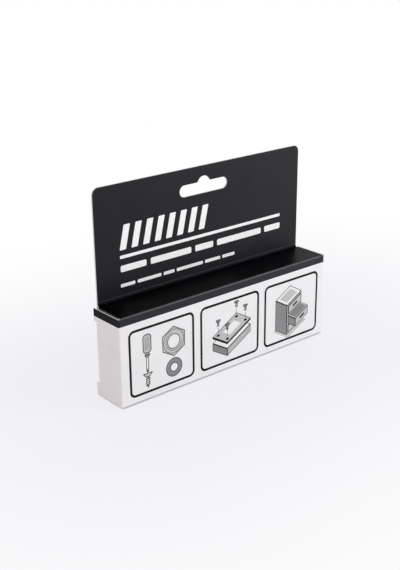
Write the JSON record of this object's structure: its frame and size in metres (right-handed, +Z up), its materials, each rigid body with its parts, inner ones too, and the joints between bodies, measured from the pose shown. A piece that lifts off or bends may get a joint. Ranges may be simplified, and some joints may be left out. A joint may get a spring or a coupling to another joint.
{
  "type": "hanging retail carton",
  "caption": "Slim folding carton with a tall hang tab above its back panel, a domed hang slot, and hinged slit-lock end flaps whose tongues tuck inside the back.",
  "frame": {"origin": "middle of the underside, on the surface that the carton stands on", "axes": "+X along the width to the front's right, +Y from the front panel to the back panel, +Z up towards the hang tab"},
  "size_m": [0.16, 0.024, 0.121],
  "materials": {
    "printed_board": "satin"
  },
  "bodies": {
    "carton": {"carton_body": "printed_board"},
    "left_end": {"left_end_flap": "printed_board"},
    "right_end": {"right_end_flap": "printed_board"}
  },
  "joints": [
    {"name": "left_end_hinge", "type": "hinge", "parent": "carton", "child": "left_end", "pos_m": [-0.07974, -0.01174, 0.027], "axis": [0, 0, 1], "range_deg": [0, 135]},
    {"name": "right_end_hinge", "type": "hinge", "parent": "carton", "child": "right_end", "pos_m": [0.07974, -0.01174, 0.027], "axis": [0, 0, -1], "range_deg": [0, 135]}
  ]
}
